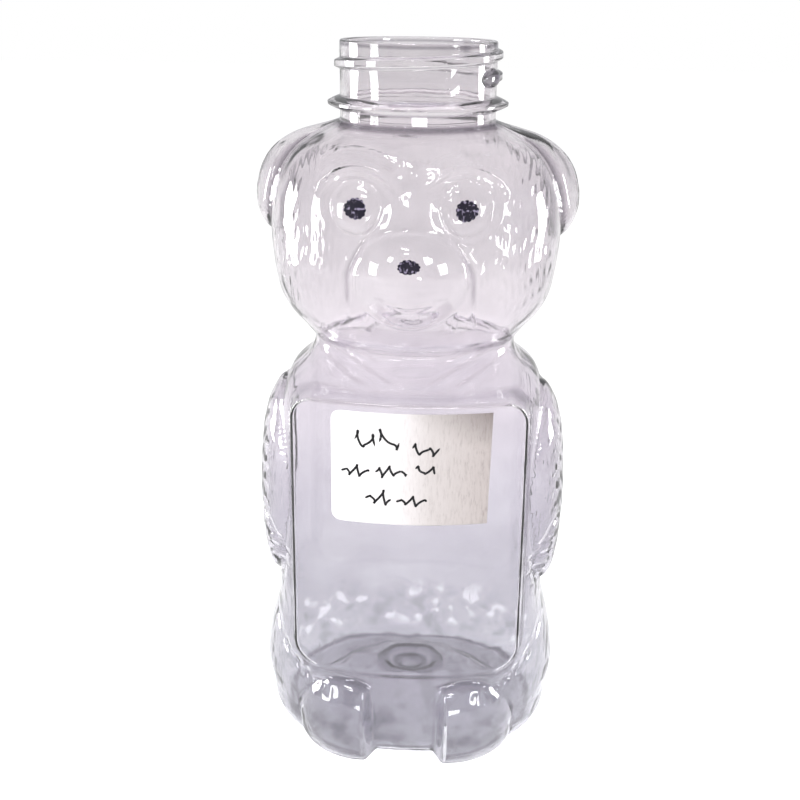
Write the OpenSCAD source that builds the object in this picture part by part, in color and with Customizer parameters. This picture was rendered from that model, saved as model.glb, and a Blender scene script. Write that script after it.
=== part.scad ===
// Clear honey bear bottle, uncapped: a threaded neck finish on a thin blown
// body shaped as a sitting bear, with a flat label panel front and back,
// a paper price label on the front panel, and printed eyes and nose.
// Millimetres, +Z up, face towards -Y, origin on the table under the middle
// of the whole bottle's width and depth.

/* [Whole bottle] */
// Height from the table to the rim of the mouth
bottle_height = 165; // [155:1:180]
// Height of the neck finish above the blown body
finish_height = 17; // [15:0.5:20]
// Wall of the blown body
wall = 0.6; // [0.5:0.05:0.9]

/* [Neck finish] */
// Outer diameter of the neck wall between the threads
neck_outer = 34.9; // [33:0.1:36]
// Diameter of the mouth opening
mouth_bore = 32.4; // [30:0.1:32.5]
// Diameter of the support ring under the threads
ring_diameter = 40.4; // [38:0.1:42]
// Thickness of the support ring at its root
ring_thickness = 2.4; // [1.6:0.1:3]
// Height of the middle of the support ring above the blown body
ring_level = 3.6; // [3:0.1:4.5]
// Rounding of the lip at the mouth
lip_round = 0.45; // [0.2:0.05:0.55]

/* [Bear body] */
// Width of the head without its ears
head_width = 66.6; // [62:0.2:72]
// Width of the throat crease between head and chest
throat_width = 47.2; // [43:0.2:51]
// Width of the trunk without its arms
trunk_width = 65.4; // [61:0.2:70]
// Front to back size of the trunk
trunk_depth = 60; // [56:0.2:64]
// Front to back size of the head without its muzzle, as a share of the trunk's
head_share = 0.967; // [0.9:0.005:1.03]
// Width across the hips
hip_width = 73; // [68:0.2:78]
// How far each ear stands out sideways from the head
ear_reach = 5; // [3:0.1:7]
// How far each arm stands out sideways from the trunk
arm_reach = 4.3; // [3:0.1:6]
// How far the muzzle stands out from the face
muzzle_reach = 6; // [4:0.1:7.5]
// How far each foot stands out from the base
foot_reach = 5.8; // [3:0.1:6.5]
// Rise of the pushed-up middle of the base
push_up = 8.4; // [4:0.1:10]

/* [Label panel] */
// Width of the flat front and back panels
panel_width = 54; // [48:0.2:56]
// Lower edge of the panels above the table
panel_bottom = 22.8; // [21:0.2:26]
// Upper edge of the panels above the table
panel_top = 91; // [86:0.2:92]
// Rounding of the corners of the panels
panel_round = 6; // [3:0.2:9]
// How far the bowed panel falls back from its middle to its side edge
panel_bow = 5.4; // [3:0.1:7]

/* [Paper label] */
// Length of the label along its upper edge
label_length = 35.6; // [28:0.2:38]
// Height of the label
label_height = 26.4; // [20:0.2:30]
// Left end of the label from the middle of the panel
label_left = 17; // [16:0.1:20]
// Gap between the upper edges of the label and the panel
label_drop = 2.4; // [1.8:0.1:8]
// How much shorter the cut right end is at the bottom
label_slant = 0.6; // [0:0.1:4]
// Rounding of the two left corners
label_round = 2.2; // [1:0.1:4]
// Thickness of the paper
label_paper = 0.12; // [0.1:0.01:0.3]

/* [Printed face] */
// Distance between the eye centres
eye_spacing = 23.2; // [21:0.2:26]
// Diameter of each printed eye
eye_size = 5; // [3.5:0.1:6]
// Width of the printed nose
nose_width = 5; // [3.5:0.1:6.5]
// Height of the printed nose
nose_height = 3.2; // [2:0.1:4]
// Thickness of the printed ink
ink = 0.12; // [0.1:0.01:0.25]

/* [Hidden] */
body_height = bottle_height - finish_height;
neck_r = neck_outer / 2;
bore_r = mouth_bore / 2;
// every level of the bear moves with the body height
lift = body_height / 148;
head_r = head_width / 2;
throat_r = throat_width / 2;
trunk_r = trunk_width / 2;
trunk_d = trunk_depth / 2;
head_d = trunk_d * head_share;
hip_r = hip_width / 2;
eye_x = eye_spacing / 2;
eye_level = 132.4 * lift;
nose_level = 121.9 * lift;
label_level = panel_top - label_drop - label_height;
skin_gap = 0.03;

// level, half width, front depth, back depth, squareness
stations = [
    [8.5 * lift, hip_r * 0.965, trunk_d * 1.02, trunk_d, 2.4],
    [14.9 * lift, hip_r * 0.996, trunk_d * 1.02, trunk_d * 1.005, 2.45],
    [19.7 * lift, hip_r * 0.985, trunk_d * 1.02, trunk_d * 1.005, 2.5],
    [24.4 * lift, hip_r * 0.96, trunk_d * 1.01, trunk_d, 2.6],
    [29.1 * lift, hip_r * 0.925, trunk_d, trunk_d * 0.99, 2.7],
    [33.7 * lift, trunk_r * 0.995, trunk_d * 0.995, trunk_d * 0.98, 2.8],
    [42 * lift, trunk_r, trunk_d * 0.99, trunk_d * 0.975, 2.8],
    [55 * lift, trunk_r, trunk_d * 0.99, trunk_d * 0.975, 2.8],
    [70 * lift, trunk_r * 0.99, trunk_d * 0.99, trunk_d * 0.975, 2.8],
    [80 * lift, trunk_r * 0.975, trunk_d * 0.98, trunk_d * 0.965, 2.8],
    [85.6 * lift, trunk_r * 0.945, trunk_d * 0.975, trunk_d * 0.96, 2.9],
    [89.7 * lift, trunk_r * 0.895, trunk_d * 0.955, trunk_d * 0.94, 2.8],
    [93.7 * lift, trunk_r * 0.77, trunk_d * 0.84, trunk_d * 0.84, 2.5],
    [97.7 * lift, throat_r, throat_r * 0.85, throat_r * 0.86, 2.1],
    [101.6 * lift, head_r * 0.77, head_d * 0.83, head_d * 0.83, 2.1],
    [105.5 * lift, head_r * 0.872, head_d * 0.9, head_d * 0.9, 2.15],
    [109.4 * lift, head_r * 0.935, head_d * 0.95, head_d * 0.95, 2.2],
    [113.3 * lift, head_r * 0.962, head_d * 0.975, head_d * 0.98, 2.25],
    [119 * lift, head_r * 0.985, head_d, head_d, 2.3],
    [125 * lift, head_r * 0.995, head_d, head_d * 1.005, 2.3],
    [131 * lift, head_r * 0.985, head_d * 0.99, head_d, 2.3],
    [135.6 * lift, head_r * 0.95, head_d * 0.965, head_d * 0.97, 2.25],
    [139.2 * lift, head_r * 0.9, head_d * 0.925, head_d * 0.92, 2.2],
    [142.8 * lift, head_r * 0.81, head_d * 0.855, head_d * 0.84, 2.15],
    [145.2 * lift, head_r * 0.7, head_d * 0.775, head_d * 0.765, 2.05],
    [146.8 * lift, head_r * 0.6, head_d * 0.695, head_d * 0.69, 2],
    [body_height, neck_r, neck_r, neck_r, 2]];

// levels of the rows of the skin, from the base heel to the neck
row_levels = [8.5, 12, 16, 19.5, 21.6, 23.2, 25.5, 29, 31.8, 33.9, 36.2, 39,
    43, 49, 56, 63, 70, 77, 82.5, 87, 89.8, 91.2, 93.4, 95.8, 97.8, 100,
    103, 106.5, 109.6, 112, 114.4, 117, 119.8, 122.6, 125.4, 128, 130.6,
    133.4, 136.2, 139, 141.8, 144.2, 146, 147.2, 148];
// level and shrink of the rows under the heel, from the middle outwards
base_rows = [[push_up, 0.08], [push_up * 0.9, 0.26], [push_up * 0.62, 0.46],
    [push_up * 0.2, 0.62], [0, 0.7], [0, 0.85], [1.1, 0.94],
    [4, 0.985]];
// directions of the columns of the skin, away from the middle of the front
// and away from the middle of the back
front_turn = [2.2, 6.6, 11, 15.4, 19.8, 24.2, 28.6, 33, 37.6, 42, 46, 49.5,
    53, 57, 63, 70, 78, 86];
back_turn = [5, 15, 25, 35, 43, 48, 52, 60, 71, 80, 87.5];

// smooth value of one station column at level z
function station(z, c) =
    let (i = search_up(z, 1),
         a = stations[i - 1], b = stations[i],
         s0 = slope(i - 1, c), s1 = slope(i, c),
         h = b[0] - a[0], t = (z - a[0]) / h)
    a[c] * (1 + 2 * t) * (1 - t) * (1 - t) + s0 * h * t * (1 - t) * (1 - t)
    + b[c] * t * t * (3 - 2 * t) + s1 * h * t * t * (t - 1);
function search_up(z, i) =
    z <= stations[i][0] || i >= len(stations) - 1 ? i : search_up(z, i + 1);
function slope(i, c) =
    let (p = stations[max(0, i - 1)],
         q = stations[min(len(stations) - 1, i + 1)])
    (q[c] - p[c]) / (q[0] - p[0]);

function step_up(e0, e1, v) =
    let (t = min(1, max(0, (v - e0) / (e1 - e0)))) t * t * (3 - 2 * t);
// dome of height h over an ellipse, steeper at its edge for a small power
function dome(u, v, cu, cv, ru, rv, h, power) =
    let (q = 1 - pow((u - cu) / ru, 2) - pow((v - cv) / rv, 2))
    q <= 0 ? 0 : h * pow(q, power);

// raised and sunk forms of the front: distance from the middle, level on a
// bear 148 high, half width, half height, rise, and 1 for a soft edge or less
// for a steep one
forms = [
    [0, 118.6, 12.6, 9.2, muzzle_reach, 0.6],      // muzzle
    [0, 128, 6, 8.5, 1.6, 1],                      // bridge of the nose
    [0, 107.6, 9.5, 5.5, 1.6, 1],                  // chin
    [0, 112.6, 8.4, 1.8, -1, 1],                   // mouth
    [eye_x, eye_level / lift + 1, 7.6, 8, -1.6, 1], // eye sockets
    [eye_x, eye_level / lift, 5.4, 5.6, 2.2, 0.7], // eyeballs
    [eye_x, eye_level / lift + 8, 8.5, 3.4, 1, 1], // brows
    [21, 116.5, 10, 11, 1.4, 1]];                  // cheeks
// each foot has an upright inner wall, between these distances from the middle
foot = [14, 6.5, 12, 14.5, foot_reach, 0.5];
foot_wall = [7.6, 9.4];
// forms of the sides: depth behind the axis, level on a bear 148 high, half
// depth, half height, rise, and power of the edge
ear = [2.5, 136, 9.5, 14, ear_reach, 0.6];
arm = [-4, 63.3, 16.5, 25.2, arm_reach, 0.42];

function add(v, i = 0) = i == len(v) ? 0 : v[i] + add(v, i + 1);
function form(f, u, v) = dome(u, v, f[0], f[1], f[2], f[3], f[4], f[5]);
function face(x, z) =
    add([for (f = forms) form(f, abs(x), z / lift)])
    + form(foot, abs(x), z / lift) * step_up(foot_wall[0], foot_wall[1], abs(x));

// share of the label panel at x and level z, 1 inside and 0 outside
function panel(x, z) =
    let (mid = (panel_top + panel_bottom) / 2,
         u = abs(x) - panel_width / 2 + panel_round,
         v = abs(z - mid) - (panel_top - panel_bottom) / 2 + panel_round,
         d = norm([max(0, u), max(0, v)]) - panel_round)
    1 - step_up(-0.9, 0.9, d);
function panel_depth(x, d) = d - panel_bow * pow(2 * x / panel_width, 2);

// depth of the skin in front of the axis at x and level z
function front(x, z) =
    let (n = station(z, 4),
         plain = station(z, 2)
                 * pow(max(0, 1 - pow(abs(x) / station(z, 1), n)), 1 / n),
         s = panel(x, z))
    plain * (1 - s) + panel_depth(x, trunk_d * 1.03) * s + face(x, z);
// depth of the skin behind the axis at x and level z
function back(x, z) =
    let (n = station(z, 4),
         plain = station(z, 3)
                 * pow(max(0, 1 - pow(abs(x) / station(z, 1), n)), 1 / n),
         s = panel(x, z))
    plain * (1 - s) + panel_depth(x, trunk_d * 1.01) * s;

// outward reach of ears and arms at depth y and level z
function side(y, z) =
    form(ear, y, z / lift) * (1 - step_up(body_height - 3.5, body_height, z))
    + form(arm, y, z / lift);

// one point of the skin in direction a, at level z
function skin(a, z) =
    let (n = station(z, 4),
         c = cos(a), s = sin(a),
         x = station(z, 1) * sign(c) * pow(abs(c), 2 / n),
         y = s < 0 ? -front(x, z) : back(x, z))
    [x + sign(x) * side(y, z) * step_up(0.2, 0.6, abs(c)), y, z];

turn = concat([for (i = [len(front_turn) - 1:-1:0]) 270 - front_turn[i]],
              [for (a = front_turn) 270 + a],
              [for (i = [len(back_turn) - 1:-1:0]) 450 - back_turn[i]],
              [for (a = back_turn) 450 + a]);
columns = len(turn);
heel = [for (a = turn) skin(a, row_levels[0] * lift)];
under = [for (r = base_rows) [for (p = heel) [p[0] * r[1], p[1] * r[1], r[0]]]];
sides = [for (k = row_levels) [for (a = turn) skin(a, k * lift)]];
outer = concat(under, sides);
rows = len(outer);

function unit(v) = v / norm(v);
// unit normal of the skin at row i and column j, pointing outwards
function outward(i, j) =
    let (w = outer[i][(j + 1) % columns] - outer[i][(j + columns - 1) % columns],
         u = outer[min(i + 1, rows - 1)][j] - outer[max(i - 1, 0)][j])
    i == rows - 1 ? unit([outer[i][j][0], outer[i][j][1], 0]) : unit(cross(w, u));
function thickness(i) =
    i == rows - 1 ? neck_r - bore_r
    : wall + (neck_r - bore_r - wall) * step_up(rows - 6, rows - 1, i);
inner = [for (i = [0:rows - 1]) [for (j = [0:columns - 1])
    outer[i][j] - outward(i, j) * thickness(i)]];

function spot_grid(x, z, w, h) =
    let (steps = 6)
    [for (i = [0:steps]) [for (j = [0:steps])
        let (u = 2 * j / steps - 1, v = 2 * i / steps - 1,
             m = max(abs(u), abs(v)), q = norm([u, v]),
             f = q == 0 ? 0 : m / q)
        [x + u * f * w / 2, z + v * f * h / 2]]];
nose_grid = spot_grid(0, nose_level, nose_width, nose_height);

// shift that puts the middle of the bottle's depth over the origin
nose_front = max([for (g = nose_grid) for (p = g) front(p[0], p[1])]) + skin_gap + ink;
skin_front = max([for (r = outer) for (p = r) -p[1]]);
skin_back = max([for (r = outer) for (p = r) p[1]]);
setback = (max(nose_front, skin_front) - skin_back) / 2;

module bear_shell() {
    n = rows * columns;
    points = concat([for (r = outer) each r], [for (r = inner) each r],
        [[0, 0, push_up], [0, 0, push_up + wall]]);
    color([0.86, 0.86, 0.9, 0.45])
    translate([0, setback, 0])
    polyhedron(points, concat(
        [for (i = [0:rows - 2]) for (j = [0:columns - 1])
            let (k = (j + 1) % columns, a = i * columns, b = a + columns)
            each [[a + j, b + j, b + k], [a + j, b + k, a + k]]],
        [for (i = [0:rows - 2]) for (j = [0:columns - 1])
            let (k = (j + 1) % columns, a = n + i * columns, b = a + columns)
            each [[a + j, b + k, b + j], [a + j, a + k, b + k]]],
        [for (j = [0:columns - 1])
            let (k = (j + 1) % columns, a = n - columns, b = 2 * n - columns)
            each [[a + j, b + j, b + k], [a + j, b + k, a + k]]],
        [for (j = [0:columns - 1]) [2 * n, j, (j + 1) % columns]],
        [for (j = [0:columns - 1]) [2 * n + 1, n + (j + 1) % columns, n + j]]));
}

module neck_finish() {
    tip = ring_diameter / 2;
    root = ring_thickness / 2;
    color([0.88, 0.88, 0.92, 0.5])
    translate([0, setback, body_height])
    rotate_extrude($fn = 96)
    polygon([
        [bore_r, 0],
        [neck_r, 0],
        [neck_r, ring_level - root],
        [tip - 0.5, ring_level - root * 0.6],
        [tip, ring_level - root * 0.25],
        [tip, ring_level + root * 0.25],
        [tip - 0.5, ring_level + root * 0.6],
        [neck_r, ring_level + root],
        [neck_r, finish_height - lip_round],
        [neck_r - lip_round, finish_height],
        [bore_r + lip_round, finish_height],
        [bore_r, finish_height - lip_round]]);
}

// thin piece over a grid of [x, z] points lying on the front of the skin
module on_front(grid, near, far) {
    r = len(grid);
    c = len(grid[0]);
    n = r * c;
    points = concat(
        [for (g = grid) for (p = g) [p[0], -front(p[0], p[1]) - near, p[1]]],
        [for (g = grid) for (p = g) [p[0], -front(p[0], p[1]) - far, p[1]]]);
    translate([0, setback, 0])
    polyhedron(points, concat(
        [for (i = [0:r - 2]) for (j = [0:c - 2])
            let (a = i * c + j, b = a + c)
            each [[a, b, b + 1], [a, b + 1, a + 1]]],
        [for (i = [0:r - 2]) for (j = [0:c - 2])
            let (a = n + i * c + j, b = a + c)
            each [[a, b + 1, b], [a, a + 1, b + 1]]],
        [for (i = [0:r - 2]) let (a = i * c, b = a + c)
            each [[a, a + n, b + n], [a, b + n, b]]],
        [for (i = [0:r - 2]) let (a = i * c + c - 1, b = a + c)
            each [[a, b + n, a + n], [a, b, b + n]]],
        [for (j = [0:c - 2]) let (a = j)
            each [[a, a + 1, a + n + 1], [a, a + n + 1, a + n]]],
        [for (j = [0:c - 2]) let (a = n - c + j)
            each [[a, a + n + 1, a + 1], [a, a + n, a + n + 1]]]));
}

module paper_label() {
    levels = [0, 0.04, 0.14, 0.3, 0.5, 0.7, 0.86, 0.96, 1];
    grid = [for (t = levels)
        let (z = label_level + t * label_height,
             d = max(0, label_round - min(t, 1 - t) * label_height),
             x0 = -label_left + label_round
                  - sqrt(label_round * label_round - d * d),
             x1 = label_length - label_left - label_slant * (1 - t))
        [for (s = [0:12]) [x0 + (x1 - x0) * s / 12, z]]];
    color([0.95, 0.94, 0.92])
    on_front(grid, skin_gap, skin_gap + label_paper);
}

// disc of ink over a grid squeezed into an oval
module ink_spot(grid) {
    color([0.09, 0.07, 0.13])
    on_front(grid, skin_gap, skin_gap + ink);
}

module left_eye() {
    ink_spot(spot_grid(eye_x, eye_level, eye_size, eye_size * 0.93));
}

module right_eye() {
    ink_spot(spot_grid(-eye_x, eye_level, eye_size, eye_size * 0.93));
}

module nose() {
    ink_spot(nose_grid);
}

neck_finish();
bear_shell();
paper_label();
left_eye();
right_eye();
nose();
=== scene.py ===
"""Clear honey bear bottle with a paper label and a printed face, in metres, +Z up, face towards -Y."""
import bmesh
import bpy
import numpy as np
from math import cos, pi, radians, sin
from mathutils import Matrix, Vector


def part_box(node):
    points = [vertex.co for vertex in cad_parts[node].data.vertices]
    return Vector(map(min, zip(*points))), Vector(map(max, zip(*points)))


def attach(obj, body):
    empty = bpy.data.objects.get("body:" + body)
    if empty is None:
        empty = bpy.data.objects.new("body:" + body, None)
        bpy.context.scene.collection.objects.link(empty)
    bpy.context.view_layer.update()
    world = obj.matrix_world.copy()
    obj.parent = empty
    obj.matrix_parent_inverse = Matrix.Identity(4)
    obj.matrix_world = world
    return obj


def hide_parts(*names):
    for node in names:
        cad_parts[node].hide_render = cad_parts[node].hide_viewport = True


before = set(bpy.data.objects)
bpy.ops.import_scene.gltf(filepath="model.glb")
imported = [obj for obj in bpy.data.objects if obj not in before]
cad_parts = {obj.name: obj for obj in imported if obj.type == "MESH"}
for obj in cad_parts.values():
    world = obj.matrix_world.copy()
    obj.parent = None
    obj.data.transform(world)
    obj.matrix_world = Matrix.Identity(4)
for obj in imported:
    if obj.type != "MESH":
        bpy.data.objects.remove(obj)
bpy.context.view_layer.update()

MM = 0.001
NECK_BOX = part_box("neck_finish")
# The bottle's neck stands this far behind the frame's origin, in metres
SETBACK = (NECK_BOX[0][1] + NECK_BOX[1][1]) / 2

# Sizes of the bottle in millimetres, as in the part's source
BOTTLE_HEIGHT = 165.0
FINISH_HEIGHT = 17.0
BODY_HEIGHT = BOTTLE_HEIGHT - FINISH_HEIGHT
WALL = 0.6
NECK_R = 17.45
BORE_R = 16.2
RING_R = 20.2
RING_LEVEL = BODY_HEIGHT + 3.6
RING_HALF = 1.2
LIP_ROUND = 0.45
LIP_LEVEL = BOTTLE_HEIGHT - LIP_ROUND
THREAD_DEPTH = 1.2
THREAD_PITCH = 4.5
THREAD_HALF = 1.35
THREAD_FOOT = RING_LEVEL + 5.6
# Angles round the neck at which the thread starts and ends
FIRST_TURN = radians(-34)
LAST_TURN = radians(425)
HEAD_R = 33.3
HEAD_D = 29.0
THROAT_R = 23.6
TRUNK_R = 32.7
TRUNK_D = 30.0
HIP_R = 36.5
EAR_REACH = 5.0
ARM_REACH = 4.3
MUZZLE_REACH = 6.0
FOOT_REACH = 5.8
PUSH_UP = 8.4
PANEL_WIDTH = 54.0
PANEL_BOTTOM = 22.8
PANEL_TOP = 91.0
PANEL_ROUND = 6.0
PANEL_BOW = 5.4
LABEL_LENGTH = 35.6
LABEL_HEIGHT = 26.4
LABEL_LEFT = 17.0
LABEL_LEVEL = 62.2
LABEL_SLANT = 0.6
LABEL_ROUND = 2.2
LABEL_PAPER = 0.12
EYE_X = 11.6
EYE_LEVEL = 132.4
EYE_SIZE = 5.0
EYE_HEIGHT = EYE_SIZE * 0.93
NOSE_LEVEL = 121.9
NOSE_WIDTH = 5.0
NOSE_HEIGHT = 3.2
INK = 0.12
SKIN_GAP = 0.03

# level, half width, front depth, back depth, squareness of the body's sections
STATIONS = np.array([
    [8.5, HIP_R * 0.965, TRUNK_D * 1.02, TRUNK_D, 2.4],
    [14.9, HIP_R * 0.996, TRUNK_D * 1.02, TRUNK_D * 1.005, 2.45],
    [19.7, HIP_R * 0.985, TRUNK_D * 1.02, TRUNK_D * 1.005, 2.5],
    [24.4, HIP_R * 0.96, TRUNK_D * 1.01, TRUNK_D, 2.6],
    [29.1, HIP_R * 0.925, TRUNK_D, TRUNK_D * 0.99, 2.7],
    [33.7, TRUNK_R * 0.995, TRUNK_D * 0.995, TRUNK_D * 0.98, 2.8],
    [42, TRUNK_R, TRUNK_D * 0.99, TRUNK_D * 0.975, 2.8],
    [55, TRUNK_R, TRUNK_D * 0.99, TRUNK_D * 0.975, 2.8],
    [70, TRUNK_R * 0.99, TRUNK_D * 0.99, TRUNK_D * 0.975, 2.8],
    [80, TRUNK_R * 0.975, TRUNK_D * 0.98, TRUNK_D * 0.965, 2.8],
    [85.6, TRUNK_R * 0.945, TRUNK_D * 0.975, TRUNK_D * 0.96, 2.9],
    [89.7, TRUNK_R * 0.895, TRUNK_D * 0.955, TRUNK_D * 0.94, 2.8],
    [93.7, TRUNK_R * 0.77, TRUNK_D * 0.84, TRUNK_D * 0.84, 2.5],
    [97.7, THROAT_R, THROAT_R * 0.85, THROAT_R * 0.86, 2.1],
    [101.6, HEAD_R * 0.77, HEAD_D * 0.83, HEAD_D * 0.83, 2.1],
    [105.5, HEAD_R * 0.872, HEAD_D * 0.9, HEAD_D * 0.9, 2.15],
    [109.4, HEAD_R * 0.935, HEAD_D * 0.95, HEAD_D * 0.95, 2.2],
    [113.3, HEAD_R * 0.962, HEAD_D * 0.975, HEAD_D * 0.98, 2.25],
    [119, HEAD_R * 0.985, HEAD_D, HEAD_D, 2.3],
    [125, HEAD_R * 0.995, HEAD_D, HEAD_D * 1.005, 2.3],
    [131, HEAD_R * 0.985, HEAD_D * 0.99, HEAD_D, 2.3],
    [135.6, HEAD_R * 0.95, HEAD_D * 0.965, HEAD_D * 0.97, 2.25],
    [139.2, HEAD_R * 0.9, HEAD_D * 0.925, HEAD_D * 0.92, 2.2],
    [142.8, HEAD_R * 0.81, HEAD_D * 0.855, HEAD_D * 0.84, 2.15],
    [145.2, HEAD_R * 0.7, HEAD_D * 0.775, HEAD_D * 0.765, 2.05],
    [146.8, HEAD_R * 0.6, HEAD_D * 0.695, HEAD_D * 0.69, 2.0],
    [148.0, NECK_R, NECK_R, NECK_R, 2.0]])
HEEL_LEVEL = STATIONS[0, 0]
# Rows of points under the heel, up the body and up the neck, and columns round the bottle
UNDER_ROWS = 120
BODY_ROWS = 380
NECK_ROWS = 150
COLUMNS = 400

# Middle and half size of raised forms: sideways or front to back, then level
EAR_OVAL = (2.5, 136, 9.5, 14)
ARM_OVAL = (-4, 63.3, 16.5, 25.2)
FOOT_OVAL = (14, 6.5, 12, 14.5)
MUZZLE_LEVEL = 118.6
# Middle, half size, reach and edge power of bridge, chin, eye sockets, eyeballs, brows and cheeks
FACE_FORMS = [
    (0, 128, 6, 8.5, 1.6, 1.3),
    (0, 107.6, 10.5, 6.5, 1.6, 1.8),
    (EYE_X, EYE_LEVEL + 1, 7.6, 8, -1.6, 1),
    (EYE_X, EYE_LEVEL, 5.4, 5.6, 2.2, 0.7),
    (EYE_X, EYE_LEVEL + 8, 8.5, 3.4, 1, 1),
    (21, 116.5, 12, 13, 1.4, 1.9)]
# Level, width and depth of the folds of the collar, and where each begins and ends sideways
COLLAR_FOLDS = [
    (93.2, 0.8, 0.85, (3, 6, 16, 20)),
    (90.6, 0.6, 0.7, (9, 12, 19, 23)),
    (95.4, 0.5, 0.6, (6, 9, 12, 15))]

# Strokes of the pen in their rows: start, end, level, height, waves and slant
PEN_ROWS = [
    [(-12, -7.2, 81.5, 5.6, 1.5, 0.2), (-6.2, -1.8, 81.8, 6.2, 1.0, -0.2), (0.8, 6.8, 80.2, 3.2, 2.0, 0.3)],
    [(-14.5, -8.2, 74.6, 3.2, 2.5, 0.3), (-6.9, 0.2, 74.9, 3.0, 3.0, 0.2), (1.4, 6.2, 75.2, 2.8, 1.5, 0.4)],
    [(-9.2, -3.4, 68.4, 4.2, 2.0, 0.3), (-2.2, 4.6, 68.0, 2.6, 2.5, 0.3)]]
PEN_WIDTH = 0.5
PEN_INK_DEPTH = 0.03
# Share of half a stroke over which its end narrows
PEN_ROUND_END = 0.06

WHITE = (1, 1, 1)
BLACK = (0, 0, 0)
# Painted shade in the middle of the base
POLE_SHADE = 0.3
# How much of the white background the plastic's reflections show
GLOSSY_SHARE = 0.2
# Strength of the room's soft light on matt surfaces, and in reflections
ROOM_LIGHT = 0.85
MIRRORED_ROOM = 0.5
# Floor, in metres, and how much lighter it looks than it is lit
FLOOR_HALF = 2.5
FLOOR_LEVEL = -0.0001
FLOOR_LIFT = 0.34
# Place that the lamps aim at, in metres
LAMP_AIM = (0, 0, 0.09)


def smooth_through(points, column, at):
    """Smooth curve through one column of a table, at the given values of its first column."""
    level = points[:, 0]
    value = points[:, column]
    before = np.maximum(np.arange(len(level)) - 1, 0)
    after = np.minimum(np.arange(len(level)) + 1, len(level) - 1)
    slope = (value[after] - value[before]) / (level[after] - level[before])
    i = np.clip(np.searchsorted(level, at), 1, len(level) - 1)
    h = level[i] - level[i - 1]
    t = (at - level[i - 1]) / h
    return (value[i - 1] * (1 + 2 * t) * (1 - t) ** 2 + slope[i - 1] * h * t * (1 - t) ** 2
            + value[i] * t * t * (3 - 2 * t) + slope[i] * h * t * t * (t - 1))


def step_up(low, high, value):
    """Smooth step from 0 at the lower value to 1 at the higher one."""
    t = np.clip((value - low) / (high - low), 0, 1)
    return t * t * (3 - 2 * t)


def band(low, full, fading, gone, value):
    """Smooth rise from 0 to 1, and fall back to 0 further on."""
    return step_up(low, full, value) * (1 - step_up(fading, gone, value))


def in_oval(u, v, cu, cv, ru, rv):
    """1 in the middle of an ellipse, 0 on its edge and negative outside it."""
    return 1 - ((u - cu) / ru) ** 2 - ((v - cv) / rv) ** 2


def dome(u, v, cu, cv, ru, rv, height, power):
    """Dome over an ellipse, steeper at its edge for a small power."""
    return height * np.maximum(in_oval(u, v, cu, cv, ru, rv), 0) ** power


def groove(value, width, depth):
    """Soft line of a given half width and depth where the value crosses 0."""
    return depth * np.exp(-(value / width) ** 2)


def muzzle_half(z):
    """Half width at which the muzzle meets the cheeks, wider towards the mouth."""
    return 6.9 + 6.6 * (1 - step_up(117, 132, z))


def face_relief(x, z):
    """Muzzle, brows, eye sockets, cheeks, collar, hips and feet over the plain front."""
    m = np.abs(x)
    over_eye = z - EYE_LEVEL
    lip_line = 113.4 - 0.65 * np.cos(x / 8 * pi)
    mouth = groove(z - lip_line, 0.7, 0.15) * (1 - step_up(6.5, 9, m))
    flank = groove(m - muzzle_half(z), 0.75, 0.65) * band(108, 115, 131, 134, z)
    muzzle_foot = np.where(z < MUZZLE_LEVEL, 12, 9.8)
    muzzle_power = 0.8 + 0.5 * (1 - step_up(109, MUZZLE_LEVEL, z))
    muzzle = dome(m, z, 0, MUZZLE_LEVEL, 12.8, muzzle_foot, MUZZLE_REACH, muzzle_power)
    round_eye = np.hypot((m - EYE_X) / 1.15, over_eye)
    lower_arc = groove(round_eye - 8.4, 0.75, 0.3 + 0.12 * (x < 0)) * step_up(3, 6, over_eye)
    upper_arc = groove(round_eye - 12.2, 0.9, 0.42) * step_up(9, 11, over_eye) * (x < 0) * (m < 17)
    brow_fold = groove(round_eye - 7.2, 0.6, 0.4) * step_up(1, 4, over_eye)
    rising = z - 0.36 * (m - 5)
    collar = sum(groove(rising - level, width, depth) * band(*reach, m)
                 for level, width, depth, reach in COLLAR_FOLDS)
    hip = z - 18.3 - 0.0025 * np.maximum(m - 16, 0) ** 3
    hip_fold = groove(hip, 1.1, 0.7 + 0.3 * np.sin(2 * pi * m / 2.6)) * step_up(15, 18, m)
    forms = sum(dome(m, z, *form) for form in FACE_FORMS)
    foot = dome(m, z, *FOOT_OVAL, FOOT_REACH, 0.5) * step_up(7.2, 9.9, m)
    return muzzle + forms + foot + lower_arc + upper_arc - mouth - flank - brow_fold - collar - hip_fold


def past_panel(x, z):
    """Distance past the outline of the flat panel, negative inside it."""
    middle = (PANEL_TOP + PANEL_BOTTOM) / 2
    u = np.abs(x) - PANEL_WIDTH / 2 + PANEL_ROUND
    v = np.abs(z - middle) - (PANEL_TOP - PANEL_BOTTOM) / 2 + PANEL_ROUND
    return np.hypot(np.maximum(u, 0), np.maximum(v, 0)) - PANEL_ROUND


def panel_share(x, z, softness):
    """1 on the flat panel and 0 off it, softened along its outline."""
    return 1 - step_up(-softness, softness, past_panel(x, z))


def plain_depth(x, z, column):
    """Depth of the body's section at a level, without panel or relief."""
    n = smooth_through(STATIONS, 4, z)
    q = np.abs(x) / smooth_through(STATIONS, 1, z)
    return smooth_through(STATIONS, column, z) * np.maximum(1 - q ** n, 0) ** (1 / n)


def front_depth(x, z):
    """How far the skin stands in front of the neck's axis."""
    share = panel_share(x, z, 0.7)
    bowed = TRUNK_D * 1.03 - PANEL_BOW * (2 * x / PANEL_WIDTH) ** 2
    return plain_depth(x, z, 2) * (1 - share) + bowed * share + face_relief(x, z)


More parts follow.
